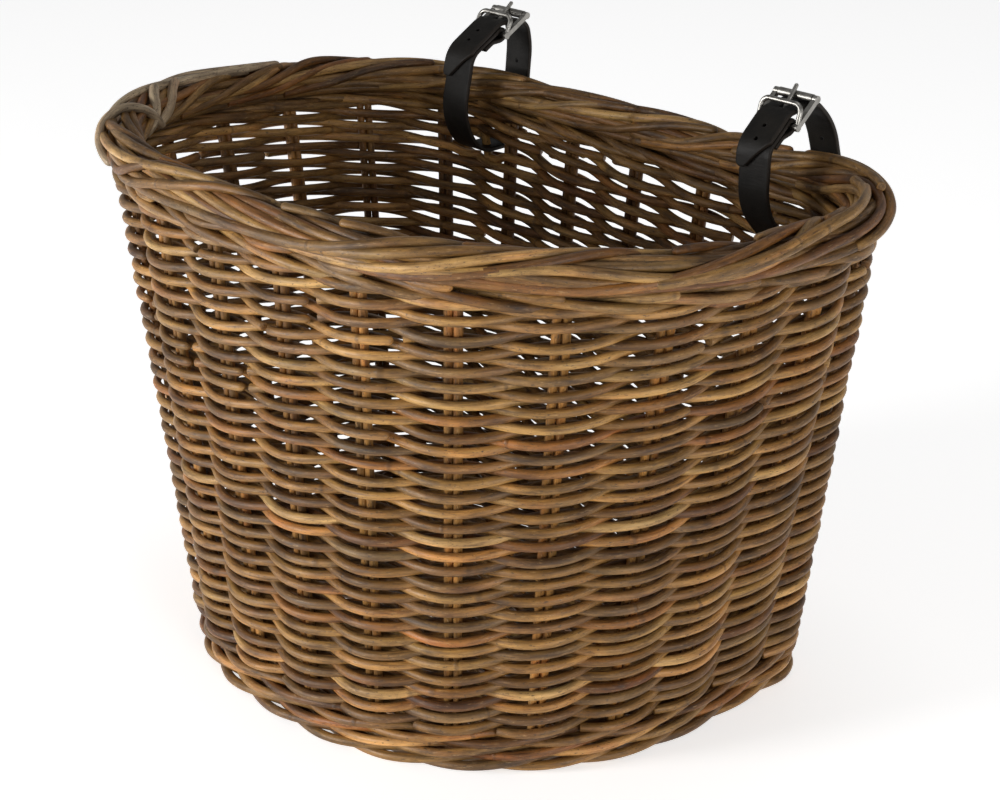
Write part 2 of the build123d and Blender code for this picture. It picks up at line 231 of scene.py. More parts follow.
# ---------------------------------------------------------------- node materials
class Nodes:
    """A short way to write a node tree."""

    def __init__(self, name):
        self.material = bpy.data.materials.new(name)
        self.material.use_nodes = True
        self.tree = self.material.node_tree
        self.tree.nodes.clear()
        self.out = self.tree.nodes.new("ShaderNodeOutputMaterial")

    def put(self, socket, value):
        if isinstance(value, bpy.types.NodeSocket):
            self.tree.links.new(value, socket)
        else:
            socket.default_value = value

    def node(self, kind, out=0, props=None, **inputs):
        """Adds a node. Inputs are given by name, with _ for a space, or as i0, i1 and so on by place."""
        made = self.tree.nodes.new(kind)
        for key, value in (props or {}).items():
            setattr(made, key, value)
        for key, value in inputs.items():
            self.put(made.inputs[int(key[1:]) if key[1:].isdigit() else key.replace("_", " ")], value)
        return made.outputs[out]

    def math(self, operation, a, b=0.0):
        return self.node("ShaderNodeMath", props=dict(operation=operation), i0=a, i1=b)

    def stretch(self, vector, factors):
        return self.node("ShaderNodeVectorMath", props=dict(operation="MULTIPLY"), i0=vector, i1=factors)

    def mix(self, factor, a, b, blend="MIX"):
        made = self.tree.nodes.new("ShaderNodeMix")
        made.data_type, made.blend_type = "RGBA", blend
        self.put(made.inputs[0], factor)
        self.put(made.inputs[6], a)
        self.put(made.inputs[7], b)
        return made.outputs[2]

    def times(self, colour, red, green, blue):
        return self.mix(1.0, colour, (red, green, blue, 1), "MULTIPLY")

    def ramp(self, value, *stops):
        made = self.tree.nodes.new("ShaderNodeValToRGB")
        elements = made.color_ramp.elements
        while len(elements) < len(stops):
            elements.new(0.5)
        for element, (position, colour) in zip(elements, stops):
            element.position = position
            element.color = (*colour, 1)
        self.put(made.inputs[0], value)
        return made.outputs[0]

    def span(self, value, low, high, to_low=0.0, to_high=1.0):
        return self.node("ShaderNodeMapRange", i0=value, i1=low, i2=high, i3=to_low, i4=to_high)

    def noise(self, vector, scale, detail=3.0, rough=0.55):
        return self.node("ShaderNodeTexNoise", Vector=vector, Scale=scale, Detail=detail, Roughness=rough)

    def split(self, vector, axis):
        return self.node("ShaderNodeSeparateXYZ", out=axis, i0=vector)

    def attribute(self, name):
        return self.node("ShaderNodeAttribute", out=1, props=dict(attribute_name=name))

    def object_place(self):
        return self.node("ShaderNodeTexCoord", out=3)

    def finish(self, shader):
        self.tree.links.new(shader, self.out.inputs[0])
        return self.material


RATTAN_BROWNS = (
    (0.0, (0.092, 0.041, 0.011)), (0.22, (0.142, 0.069, 0.018)), (0.50, (0.208, 0.110, 0.030)),
    (0.75, (0.275, 0.154, 0.046)), (0.90, (0.350, 0.206, 0.068)), (1.0, (0.440, 0.275, 0.102)))
ORANGE_BROWN, GREY_BROWN = (0.35, 0.135, 0.032, 1), (0.235, 0.152, 0.066, 1)
SUN_BLEACHED = (0.43, 0.34, 0.235, 1)
JOINT_BROWN, SCUFF_TAN, SPECK_BROWN = (0.040, 0.022, 0.011, 1), (0.56, 0.37, 0.18, 1), (0.03, 0.02, 0.014, 1)


def stake_grain(n):
    """Grain and tints for the CAD rods, which stand roughly upright and carry no attributes."""
    place = n.stretch(n.object_place(), (1 / MM, 1 / MM, 1 / MM))
    cell = n.node("ShaderNodeTexNoise", Vector=n.stretch(place, (0.02, 0.02, 0.0)), Scale=2.3, Detail=1.0)
    upright = n.node("ShaderNodeCombineXYZ", i0=n.split(place, 2), i1=n.split(place, 0), i2=n.split(place, 1))
    return upright, n.span(cell, 0.3, 0.7), n.span(cell, 0.35, 0.6), n.span(cell, 0.4, 0.8)


def rattan(name, dusty=0.0, own_grain=True, dark=1.0):
    """Bark-on rattan rod: long fibres, mottled brown, dark rings at the joints, pale scuffs.

    dusty adds to the grey and the scuffs, dark scales the colour. Without own_grain the mesh has no
    attributes, as on the CAD rods."""
    n = Nodes(name)
    if own_grain:
        grain, tint = n.attribute("grain"), n.attribute("tint")
        tone, warm, aged = (n.split(tint, i) for i in range(3))
    else:
        grain, tone, warm, aged = stake_grain(n)
    # one brown per rod, some redder, some greyer, a few bleached
    base = n.ramp(tone, *RATTAN_BROWNS)
    base = n.mix(n.span(warm, 0.55, 1.0, 0.0, 0.42), base, ORANGE_BROWN)
    base = n.mix(n.span(aged, 0.6, 1.0, 0.0, 0.5 + dusty), base, GREY_BROWN)
    base = n.mix(n.span(aged, 1.0, 1.5), base, SUN_BLEACHED)
    # patches along the rod: hue, light and dark, blotches, and the fibres themselves
    hue = n.noise(n.stretch(grain, (0.021, 0.10, 0.10)), 1.0, 3.0, 0.6)
    base = n.mix(n.span(hue, 0.54, 0.70, 0.0, 0.55), base, n.times(base, 1.24, 0.90, 0.78))
    base = n.mix(n.span(hue, 0.46, 0.32, 0.0, 0.50), base, n.times(base, 0.88, 1.04, 1.10))
    mottle = n.noise(n.stretch(grain, (0.040, 0.22, 0.22)), 1.0, 5.0, 0.66)
    base = n.mix(n.span(mottle, 0.34, 0.66), n.times(base, 0.40, 0.36, 0.33), n.times(base, 1.62, 1.58, 1.50))
    blotch = n.noise(n.stretch(grain, (0.055, 1.0, 1.0)), 0.55, 4.0, 0.62)
    base = n.mix(n.span(blotch, 0.52, 0.68, 0.0, 0.7), base, n.times(base, 0.38, 0.33, 0.30))
    fibre = n.noise(n.stretch(grain, (0.03, 1.9, 1.9)), 1.6, 4.0, 0.6)
    base = n.mix(n.span(fibre, 0.3, 0.75), n.times(base, 0.76, 0.73, 0.71), n.times(base, 1.14, 1.12, 1.08))
    # joints: a dark ring with a pale lip, unevenly spaced
    warp = n.math("MULTIPLY", n.noise(n.stretch(grain, (0.006, 0, 0)), 1.0, 1.0), 1.5)
    beat = n.math("FRACT", n.math("ADD", n.math("MULTIPLY", n.split(grain, 0), 0.0045), warp))
    apart = n.math("ABSOLUTE", n.math("SUBTRACT", beat, 0.5))
    ragged = n.math("MULTIPLY", n.noise(grain, 0.9, 2.0), 0.006)
    ring = n.span(n.math("SUBTRACT", apart, ragged), 0.0, 0.0075, 1.0, 0.0)
    halo = n.span(apart, 0.0, 0.05, 1.0, 0.0)
    base = n.mix(n.math("MULTIPLY", halo, 0.3), base, n.times(base, 1.25, 1.15, 1.0))
    base = n.mix(n.math("MULTIPLY", ring, 0.45), base, JOINT_BROWN)
    # scuffs and dark specks
    scuff = n.noise(n.stretch(grain, (0.16, 0.9, 0.9)), 1.3, 5.0, 0.7)
    base = n.mix(n.span(scuff, 0.58, 0.70, 0.0, 0.42 + dusty), base, SCUFF_TAN)
    speck = n.noise(n.stretch(grain, (0.30, 0.9, 0.9)), 1.7, 4.0, 0.65)
    base = n.mix(n.span(speck, 0.585, 0.66, 0.0, 0.85), base, SPECK_BROWN)
    if dark != 1.0:
        base = n.times(base, dark, dark, dark)
    height = n.math("ADD", n.math("MULTIPLY", fibre, 0.5), n.math("MULTIPLY", blotch, 0.5))
    height = n.math("ADD", height, n.math("MULTIPLY", ring, -1.0))
    height = n.math("ADD", height, n.math("MULTIPLY", halo, 0.8))
    bump = n.node("ShaderNodeBump", Strength=0.55, Distance=0.0004, Height=height)
    rough = n.span(mottle, 0.3, 0.75, 0.58, 0.38)
    return n.finish(n.node("ShaderNodeBsdfPrincipled", Base_Color=base, Roughness=rough, Normal=bump,
                           Specular_IOR_Level=0.36))


rattan_weave = rattan("rattan_weave")
rattan_border = rattan("rattan_border", dusty=0.10, dark=0.80)
rattan_stake = rattan("rattan_stake", own_grain=False, dark=1.15)

# ---------------------------------------------------------------- the woven wall
WEAVE_LOW, WEAVE_HIGH = 24.5, 251.5
ROWS = 60                       # half strokes up one stake
OPENING = 0.05                  # how much the rows open up towards the rim
SWING = 5.2                     # how far a rod stands out from mid-wall as it passes a stake
WEAVER = 2.32
STEPS = 14                      # points between two stakes
SLACK_OUT, SLACK_UP = 0.28, 0.58
DRIFT_WAVES = 9
STRAP_X = 111.0
STRAP_WIDTH = 18.6
BACK_Y = RIM["back"] * math.cos(RIM_DROP) + SHIFT_Y
BACK_Z = RIM_HEIGHT - RIM["back"] * math.sin(RIM_DROP)
STRAP_SLOT = BACK_Z - 32.0      # height at which the straps pass through the back wall
SLOT_PUSH, SLOT_FADE = 5.4, 10.0
SLOT_MARGIN, SLOT_EDGE = 11.0, 9.0
BACK_WALL_Y = 90.0              # everything further back than this is back wall


def dip(u):
    """How much lower a rod is where it stands out than halfway. It is negative at the back."""
    return 0.25 - 0.5 * np.cos(2 * math.pi * u / STAKES)


def row_height(m):
    """Height of row m."""
    t = np.asarray(m, float) / ROWS
    return WEAVE_LOW + (WEAVE_HIGH - WEAVE_LOW) * ((1 - OPENING) * t + OPENING * t * t)


drift = [(rng.integers(1, 7), rng.uniform(0.006, 0.03), rng.uniform(0, 6.28), rng.uniform(0.18, 0.42))
         for _ in range(DRIFT_WAVES)]


def wander(u, z):
    """Slow waves that neighbouring rows share, in mm."""
    return sum(size * np.sin(2 * math.pi * turns * u / STAKES + z * rate + phase)
               for turns, rate, phase, size in drift)


def between(values, t):
    """Smooth steps through values at whole numbers."""
    i = np.floor(t).astype(int)
    f = ease(t - i)
    return values[i] * (1 - f) + values[i + 1] * f


def part_at_straps(points):
    """Rods of the back wall bow apart, up or down, to let the two straps through."""
    side = np.abs(np.abs(points[..., 0]) - STRAP_X)
    near = np.clip((STRAP_WIDTH / 2 + SLOT_MARGIN - side) / SLOT_EDGE, 0, 1)
    near = ease(near) * (points[..., 1] > BACK_WALL_Y)
    gap = points[..., 2] - STRAP_SLOT
    pushed = np.sign(gap + 1e-6) * np.sqrt(gap * gap + SLOT_PUSH ** 2 * np.exp(-(gap / SLOT_FADE) ** 2))
    moved = points.copy()
    moved[..., 2] += (pushed - gap) * near
    return moved


def weaver_path(line, low, high):
    """One helix of the wall: at row m it passes stake line - m, outside where m is even."""
    m = np.linspace(low, high, max(8, int((high - low) * STEPS)))
    u = line - m
    c = np.cos(math.pi * m)
    square = c * (1.08 - 0.08 * c * c)
    shift = m - math.floor(low) + 1
    size = int(high - low) + 5
    out = between(rng.normal(0, SLACK_OUT, size), shift)
    rise = between(rng.normal(0, SLACK_UP, size), shift)
    z = row_height(m)
    height = z + wander(u, z) + rise - dip(u) * c
    return part_at_straps(wall(u, height, SWING * square + out * np.abs(c))), m


def join_row(line):
    """The row, of those near two thirds of the height, at which a lower rod ends closest to a slow wave."""
    def miss(m):
        stake = (line - m) % STAKES
        return abs(row_height(m) - (180 + 8 * math.cos(2 * math.pi * (stake - 6.5) / 9)))
    return min(range(36, 45, 2), key=miss)


def add_weaver(rods, line, low, high, start, end, thick, thin):
    """Part of one helix, from row low to row high, tapering from thick to thin and thicker at the back."""
    path, m = weaver_path(line, low, high)
    share = (m - low) / (high - low)
    radius = thick + (thin - thick) * share ** 1.5
    uneven = 0.03 * np.sin(m * 1.7 + line) + 0.035 * np.cos(2 * math.pi * (line - m) / STAKES)
    rods.add(path, radius * (1 + uneven), start, end)


def weaver_size(low, high):
    return WEAVER * rng.uniform(low, high)


lower = [Rods(), Rods()]
upper = Rods()
for line in range(STAKES):
    first = join_row(line)
    second = first + 10 + 2 * int(rng.integers(0, 3))
    add_weaver(lower[line % 2], line, -0.45, first + 0.30, "flat", "round",
               weaver_size(1.0, 1.08), weaver_size(0.93, 1.02))
    blunt = rng.random() < 0.35
    gap = 0.45 if 6 < (line - first) % STAKES < 11 else 0.12
    add_weaver(upper, line, first + 0.30 + gap, second + (-0.2 if blunt else 0.36),
               "flat", "flat" if blunt else "round", weaver_size(0.98, 1.06), weaver_size(0.92, 1.02))
    add_weaver(upper, line, second + (-0.1 if blunt else 0.50), ROWS + rng.uniform(-0.2, 0.8),
               "flat", "round", weaver_size(0.97, 1.08), weaver_size(0.94, 1.04))

for index, rods in enumerate(lower):
    piece = rods.make(f"weave_rods_lower_{index + 1}", rattan_weave)
    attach(piece, "basket")
    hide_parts("weave_lower_outside" if index == 0 else "weave_lower_inside")
piece = upper.make("weave_rods_upper", rattan_weave)
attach(piece, "basket")
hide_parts("weave_upper_outside", "weave_upper_inside")

# ---------------------------------------------------------------- rim border: long rods crossing round a core
BORDER_STRANDS, BORDER_WAVES = 13, 2
BORDER_ROD, CORE_ROD = 2.4, 2.6
BORDER_MIDDLE, BORDER_REACH = math.radians(70), math.radians(112)
BORDER_RADIUS, BORDER_CROSSING = 7.1, 1.9
CORE = ((-160, 6.4), (-122, 7.2), (-86, 7.4), (-50, 6.8), (178, 6.4), (0, 0.4), (120, 3.8), (60, 3.6))
BEND_POINTS, BEND_SMOOTHING = 60, 15
WALE_RODS = 3
CLOSING_HEIGHT, CLOSING_LIFT, CLOSING_SWING, CLOSING_WAVES = 246.2, 2.3, 5.4, 7
PALE, TAN = (0.7, 0.1, 1.5), (0.72, 0.2, 0.3)
u_ring = np.linspace(0, STAKES, STAKES * STEPS + 1)


def smooth_noise(count, size):
    """A closed smooth curve over u_ring through count random values."""
    values = rng.normal(0, size, count)
    t = u_ring / STAKES * count
    i = np.floor(t).astype(int)
    f = ease(t - i)
    return values[i % count] * (1 - f) + values[(i + 1) % count] * f


def soft_path(values):
    """Values spread evenly over a bend, with the corners between them rounded off."""
    line = np.interp(np.linspace(0, 1, BEND_POINTS), np.linspace(0, 1, len(values)), values)
    return np.convolve(np.pad(line, BEND_SMOOTHING // 2, mode="edge"), bell(BEND_SMOOTHING), mode="valid")


def border_bend(stake, spread, angles, radii, thick, start="flat", end="round", tint=None):
    """A short rod laid over the border, from one angle to another within a few stake gaps."""
    u = stake + spread * np.linspace(0, 1, BEND_POINTS)
    border.add(rim_section(u, soft_path(np.radians(angles)), soft_path(radii)), thick, start, end, tint)


border = Rods(sides=10)
for strand in range(BORDER_STRANDS):
    phase = 2 * math.pi * (BORDER_WAVES * u_ring / STAKES + strand / BORDER_STRANDS) + smooth_noise(11, 0.42)
    angle = BORDER_MIDDLE + BORDER_REACH * np.sin(phase) + smooth_noise(13, math.radians(7))
    falling = np.cos(phase)
    crossing = BORDER_CROSSING * falling / np.sqrt(falling * falling + 0.2)
    radius = BORDER_RADIUS - crossing + smooth_noise(19, 0.4)
    border.add(rim_section(u_ring, angle, radius), BORDER_ROD * rng.uniform(0.93, 1.05), None, None)
for angle, radius in CORE:
    angle = math.radians(angle) + smooth_noise(9, math.radians(9))
    border.add(rim_section(u_ring, angle, radius + smooth_noise(9, 0.3)), CORE_ROD, None, None)
# each stake's end comes over the border and is cut off inside, just below it
for stake in range(STAKES):
    border_bend(stake + rng.uniform(-0.2, 0.2), -rng.uniform(1.5, 2.1), (95, 140, 190, 218),
                (8.8, 9.4, 9.2, 8.2), 2.2 * rng.uniform(0.9, 1.05), "round", "flat")
# a wale closes the wall under the border
for strand in range(WALE_RODS):
    turn = 2 * math.pi * (CLOSING_WAVES * u_ring / STAKES + strand / WALE_RODS)
    z = CLOSING_HEIGHT + CLOSING_LIFT * np.sin(turn) + wander(u_ring, 246.0) * 0.5
    border.add(part_at_straps(wall(u_ring, z, CLOSING_SWING * np.cos(turn))), BORDER_ROD, None, None)
# the left shoulder has paler rods looped over the border and cut ends, the right corner has crossing rods
for bend in (
        (14.2, 1.5, (-50, 30, 105, 165, 215), (9.6, 12.0, 12.2, 11.0, 8.4), 2.5, "round", "round", PALE),
        (14.7, 2.7, (-35, 45, 95, 100, 92), (9.8, 12.0, 12.0, 11.0, 9.6), 2.5, "round", "round", PALE),
        (15.5, 2.4, (-40, 30, 85, 90, 75), (9.6, 11.8, 12.0, 11.0, 9.6), 2.4, "round", "round", PALE),
        (15.15, 0.62, (205, 160, 120, 98), (8.2, 10.5, 12.0, 13.2), 2.75, "round", "flat", PALE),
        (15.55, 0.66, (205, 165, 125, 100), (8.2, 10.5, 12.0, 13.0), 2.65, "round", "flat", PALE),
        (6.7, -3.2, (-5, 35, 78, 118), (9.6, 11.6, 11.9, 11.2), 2.5, "round", "flat", TAN),
        (7.2, -3.3, (-15, 25, 66, 100), (9.6, 11.4, 11.8, 11.6), 2.45, "round", "flat", TAN),
        (1.5, 2.3, (160, 128, 92, 62), (9.2, 10.8, 12.2, 12.6), 2.4, "round", "flat", TAN),
        (2.4, 2.4, (112, 66, 20, -22), (10.4, 12.0, 11.8, 9.6), 2.5, "round", "round", TAN)):
    border_bend(*bend)
piece = border.make("border_rods", rattan_border)
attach(piece, "basket")
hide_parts("rim_border")

# ---------------------------------------------------------------- foot: rows of a three-rod wale
FOOT_ROWS = ((4.9, 2.0, 2.35), (11.4, 2.5, 2.25), (18.2, 2.6, 2.2))     # height, lift and rod radius
FOOT_WAVES, FOOT_SWING, FOOT_STAGGER = 8, 4.9, 0.21
foot = Rods()
for row, (height, lift, thick) in enumerate(FOOT_ROWS):
    for strand in range(WALE_RODS):
        turn = 2 * math.pi * (FOOT_WAVES * u_ring / STAKES + strand / WALE_RODS + row * FOOT_STAGGER)
        z = height - lift * np.sin(turn) + wander(u_ring, height) * 0.35
        foot.add(wall(u_ring, z, FOOT_SWING * np.cos(turn)), thick, None, None)
piece = foot.make("foot_rods", rattan_weave)
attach(piece, "basket")
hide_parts("foot_border")

# ---------------------------------------------------------------- base: rods woven over and under the sticks
STICK_STEP, BASE_ROWS, BASE_ROD = 36.0, 54, 2.0
BASE_SWING = 3.95               # from the sticks' middle to a rod's, above or below
BASE_INSET, BASE_TUCK = 7.0, 1.5
sticks_low, sticks_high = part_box("base_sticks")
plate_low, plate_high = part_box("base_weave_under")
stick_middle = (sticks_low[2] + sticks_high[2]) / 2 / MM
edge = wall(np.linspace(0, STAKES, 2000), 10.0, -BASE_INSET)
base_rods = Rods(sides=8)
for row in range(BASE_ROWS):
    y = plate_low[1] / MM + 0.5 + ((plate_high[1] - plate_low[1]) / MM - 0.6) * row / (BASE_ROWS - 1)
    inside = edge[np.abs(edge[:, 1] - y) < 1.2]
    if len(inside) == 0:
        continue
    reach = min(inside[:, 0].max(), -inside[:, 0].min()) + BASE_TUCK
    x = np.linspace(-reach, reach, 150)
    z = stick_middle + BASE_SWING * np.cos(math.pi * (x / STICK_STEP + row)) + 0.25 * np.sin(x / 23 + row)
    path = np.stack([x, y + 0.5 * np.sin(x / 31 + row * 0.12), z], axis=-1)
    base_rods.add(path, BASE_ROD * rng.uniform(0.95, 1.04), "flat", "flat")
piece = base_rods.make("base_rods", rattan_weave)
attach(piece, "basket")
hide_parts("base_weave_under", "base_weave_top")

for name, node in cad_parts.items():
    if name.startswith("stake_pair") or name == "base_sticks":
        node.data.materials.clear()
        node.data.materials.append(rattan_stake)


# ---------------------------------------------------------------- leather straps, on the CAD source's route
LEATHER, LAYER_GAP = 2.4, 0.25          # thickness, and the gap between two layers
BAR_RADIUS, REAR_ARM = 1.25, 18.0       # the buckle's centre bar, and from it to the roller
FOLD = BAR_RADIUS + LEATHER / 2 + 0.35  # from the bar's middle to the middle of the leather round it
KNEE = 11.0
LAYER = LEATHER + LAYER_GAP
# x, then the buckle's y, z and tilt, then the loop's points in y and z, all measured from the border's middle
STRAPS = {
    "left": (-STRAP_X, (-2.0, 32.0, 28.7),
             [(-24.5, 19.5), (-31.5, -13.0), (-17.0, -31.8), (12.0, -31.8), (18.0, -8.0), (21.0, 22.0)]),
    "right": (STRAP_X, (-26.2, 30.2, 38.7),
              [(-41.5, 17.5), (-42.5, -10.0), (-22.0, -31.8), (12.0, -31.8), (17.0, -4.0), (8.0, 25.0)]),
}


def buckle_point(buckle, p, q):
    """y and z of a point p along the buckle towards its roller and q above its bars."""
    c, s = math.cos(math.radians(buckle[2])), math.sin(math.radians(buckle[2]))
    return buckle[0] + p * c - q * s, buckle[1] + p * s + q * c


def meet(a, b, c, d):
    """Where the line through a and b crosses the one through c and d."""
    r, s = (b[0] - a[0], b[1] - a[1]), (d[0] - c[0], d[1] - c[1])
    t = ((c[0] - a[0]) * s[1] - (c[1] - a[1]) * s[0]) / (r[0] * s[1] - r[1] * s[0])
    return a[0] + t * r[0], a[1] + t * r[1]


def beside(a, b, distance):
    """The line from a to b, moved to its left."""
    length = math.hypot(b[0] - a[0], b[1] - a[1])
    n = (-(b[1] - a[1]) / length * distance, (b[0] - a[0]) / length * distance)
    return (a[0] + n[0], a[1] + n[1]), (b[0] + n[0], b[1] + n[1])


def strap_route(buckle, loop):
    """The leather's middle line from the riveted end, round the loop, to the free tip, with its radii."""
    line = (buckle_point(buckle, 0, FOLD), buckle_point(buckle, -20, FOLD))
    outer_leg = beside(*loop[:2], -LAYER)
    knee = meet(*beside(*line, -LAYER), *outer_leg)
    tip = tuple(k + (low - top) * 0.42 for k, top, low in zip(knee, *outer_leg))
    riveted_end = ((-14.0, FOLD - LAYER), (-7.5, FOLD - LAYER))
    round_bar = ((-1.8, -FOLD), (FOLD, -FOLD), (FOLD, FOLD))
    points = [buckle_point(buckle, p, q) for p, q in riveted_end + round_bar]
    points += [meet(*line, *loop[:2]), *loop[1:]]
    points += [buckle_point(buckle, REAR_ARM + 2, -5.6), buckle_point(buckle, 2.4, FOLD + LAYER + 0.3)]
    points += [knee, tip]
    radii = [6.0, 5.0, FOLD * 0.97, FOLD * 0.97, KNEE, 32.0, 17.0, 14.0, 45.0, 40.0, 9.0, 12.0, KNEE + LAYER]
    return points, radii


def rounded(points, radii, step=0.7):
    """Points a step apart along straight runs joined by arcs."""
    points = [np.array(p) for p in points]
    out, here = [points[0]], points[0]
    for corner, after, radius in zip(points[1:-1], points[2:], radii):
        into, away = corner - here, after - corner
        into, away = into / np.linalg.norm(into), away / np.linalg.norm(away)
        bend = math.acos(max(-1.0, min(1.0, float(into @ away))))
        cut = radius * math.tan(bend / 2)
        first = corner - into * cut
        left = np.array([-into[1], into[0]]) * (1 if into[0] * away[1] - into[1] * away[0] > 0 else -1)
        centre = first + left * radius
        count = max(2, int(np.linalg.norm(first - here) / step))
        out += [here + (first - here) * k / count for k in range(1, count + 1)]
        turns = max(2, int(radius * bend / step), int(bend / 0.16))
        for k in range(1, turns + 1):
            a = bend * k / turns
            out.append(centre - left * radius * math.cos(a) + into * radius * math.sin(a))
        here = out[-1]
    count = max(2, int(np.linalg.norm(points[-1] - here) / step))
    out += [here + (points[-1] - here) * k / count for k in range(1, count + 1)]
    return np.array(out)


def hole_cutter(x, place, direction, size_x, size_along, depth):
    """An oval bar through the leather: place and direction in the y-z plane, relative to the border."""
    count = 24
    a = np.arange(count) / count * 2 * math.pi
    straight = max(size_along - size_x, 0) / 2
    run = np.array([direction[1], -direction[0]])
    verts = []
    for end in (-depth, depth):
        for angle in a:
            along_run = math.sin(angle) * size_x / 2 + math.copysign(straight, math.sin(angle))
            y, z = np.array(place) + np.array(direction) * end + run * along_run
            verts.append(((x + math.cos(angle) * size_x / 2) * MM, (BACK_Y + y) * MM, (BACK_Z + z) * MM))
    faces = [(k, (k + 1) % count, count + (k + 1) % count, count + k) for k in range(count)]
    faces += [tuple(range(count))[::-1], tuple(range(count, 2 * count))]
    mesh = bpy.data.meshes.new("cutter")
    mesh.from_pydata(verts, [], faces)
    made = bpy.data.objects.new("cutter", mesh)
    bpy.context.scene.collection.objects.link(made)
    return made


def strap_holes(x, buckle, loop):
    """Cutters for the prong's slots, the rivet, two spare holes in the free end and one in the outer leg."""
    along_p = np.array(buckle_point(buckle, 1, 0)) - np.array(buckle_point(buckle, 0, 0))
    through = np.array([-along_p[1], along_p[0]])
    face_q = FOLD + LEATHER / 2
    cutters = [
        hole_cutter(x, buckle_point(buckle, 1.6, -0.6), through, 4.2, 11.0, 3.6),
        hole_cutter(x, buckle_point(buckle, 7.4, 1.2), through, 3.2, 9.6, 3.6),
        hole_cutter(x, buckle_point(buckle, -11.2, -1.35), through, 3.1, 3.1, face_q + 1.35),
    ]
    for p in (-7.0, -15.0):
        cutters.append(hole_cutter(x, buckle_point(buckle, p, face_q + 3.2), through, 2.2, 2.2, 3.05))
    low, high = np.array(loop[-2]), np.array(loop[-1])
    leg = (high - low) / np.linalg.norm(high - low)
    cutters.append(hole_cutter(x, low + (high - low) * 0.67, np.array([-leg[1], leg[0]]), 2.2, 2.2, 4.8))
    return cutters


def cut_holes(made, cutters):
    """Cuts the holes into the mesh itself and removes the cutters."""
    name = made.data.name
    for cutter in cutters:
        cut = made.modifiers.new("cut", "BOOLEAN")
        cut.operation, cut.object, cut.solver = "DIFFERENCE", cutter, "MANIFOLD"
    bpy.context.view_layer.update()
    result = bpy.data.meshes.new_from_object(made.evaluated_get(bpy.context.evaluated_depsgraph_get()))
    made.modifiers.clear()
    made.data = result
    result.name = name
    for cutter in cutters:
        bpy.data.objects.remove(cutter)


HALF_WIDTH, HALF_LEATHER = STRAP_WIDTH / 2, LEATHER / 2
CREASES = 46


def strap_section():
    """Points across and through the leather: a flat oblong with soft edges."""
    soft = 0.62
    top = [(share * (HALF_WIDTH - soft), HALF_LEATHER) for share in np.linspace(-1, 1, 27)]
    side = [(HALF_WIDTH - soft + soft * math.cos(a),
             HALF_LEATHER * math.sin(a) * (0.9 + 0.1 * abs(math.sin(a))))
            for a in np.radians(np.linspace(90, -90, 9))[1:-1]]
    return np.array(top + side + [(-across, -through) for across, through in top + side])


def strap_across(x, run, section):
    """How far each point lies across the strap: wavy edges, and a tip pointed towards one edge."""
    left_over = run[-1] - run
    right_reach = np.minimum(HALF_WIDTH, -5.6 + 0.98 * (left_over + 1.0))
    left_reach = np.minimum(HALF_WIDTH, 7.4 + 0.9 * np.sqrt(np.clip(left_over * 2.0, 0, 9)))
    share = (section[None, :, 0] / HALF_WIDTH + 1) / 2
    across = share * right_reach[:, None] - (1 - share) * left_reach[:, None]
    edge_wave = 0.14 * np.sin(run / 9.0 + x) + 0.10 * np.sin(run / 4.1 + 1.3)
    at_edge = np.clip(np.abs(section[None, :, 0]) / HALF_WIDTH - 0.6, 0, 1) * 1.2
    return across + np.sign(section[None, :, 0]) * edge_wave[:, None] * at_edge


def strap_relief(run, turn, section):
    """How far each point lies through the strap: thinner edges, creases inside the bends, a slack wave."""
    across, through = section[None, :, 0], section[None, :, 1]
    near_edge = np.clip((np.abs(across) - HALF_WIDTH + 1.7) / 1.7, 0, 1)
    rise = through * (1 - 0.16 * near_edge ** 2)
    crease = np.zeros((len(run), len(section)))
    for _ in range(CREASES):
        at, lean, width = rng.uniform(0, run[-1]), rng.uniform(-0.35, 0.35), rng.uniform(0.5, 1.1)
        middle, spread = rng.uniform(-7, 7), rng.uniform(3, 8)
        gap = (run[:, None] - at - lean * across) / width
        crease += np.exp(-gap * gap) * np.exp(-((across - middle) / spread) ** 2)
    bend_size = np.clip(np.abs(turn) * 14, 0.12, 1.0)
    inner_side = np.where(np.sign(through) == np.sign(turn)[:, None], 1.0, 0.35)
    rise = rise - np.sign(through) * crease * 0.10 * bend_size[:, None] * inner_side
    free = np.clip(run / 25, 0, 1) * np.clip((run[-1] - run) / 12, 0, 1)
    slack = 0.16 * np.sin(across * 0.21 + run[:, None] / 13.0) * free[:, None]
    return rise + slack * 0.6


def leather_mesh(name, x, buckle, loop, material):
    """One strap: the soft-edged section swept along its route, with its holes cut."""
    line = rounded(*strap_route(buckle, loop))
    run = np.concatenate([[0], np.cumsum(np.linalg.norm(np.diff(line, axis=0), axis=1))])
    tangent = np.gradient(line, axis=0)
    tangent /= np.linalg.norm(tangent, axis=1)[:, None]
    left = np.stack([-tangent[:, 1], tangent[:, 0]], axis=-1)
    turn = np.gradient(np.unwrap(np.arctan2(tangent[:, 1], tangent[:, 0]))) / np.gradient(run)
    turn = np.convolve(turn, bell(13), mode="same")
    section = strap_section()
    across, through = strap_across(x, run, section), strap_relief(run, turn, section)
    place = line[:, None] + left[:, None] * through[..., None]
    co = np.stack([x + across, BACK_Y + place[..., 0], BACK_Z + place[..., 1]], axis=-1).reshape(-1, 3)
    worn = np.clip(np.abs(section[None, :, 0]) - HALF_WIDTH + 1.0, 0, 1)
    hide = np.stack(np.broadcast_arrays(run[:, None], section[None, :, 0], worn), axis=-1)
    made = smooth_mesh(name, co, tube_faces(len(line), len(section)), material, hide=hide)
    cut_holes(made, strap_holes(x, buckle, loop))
    return made


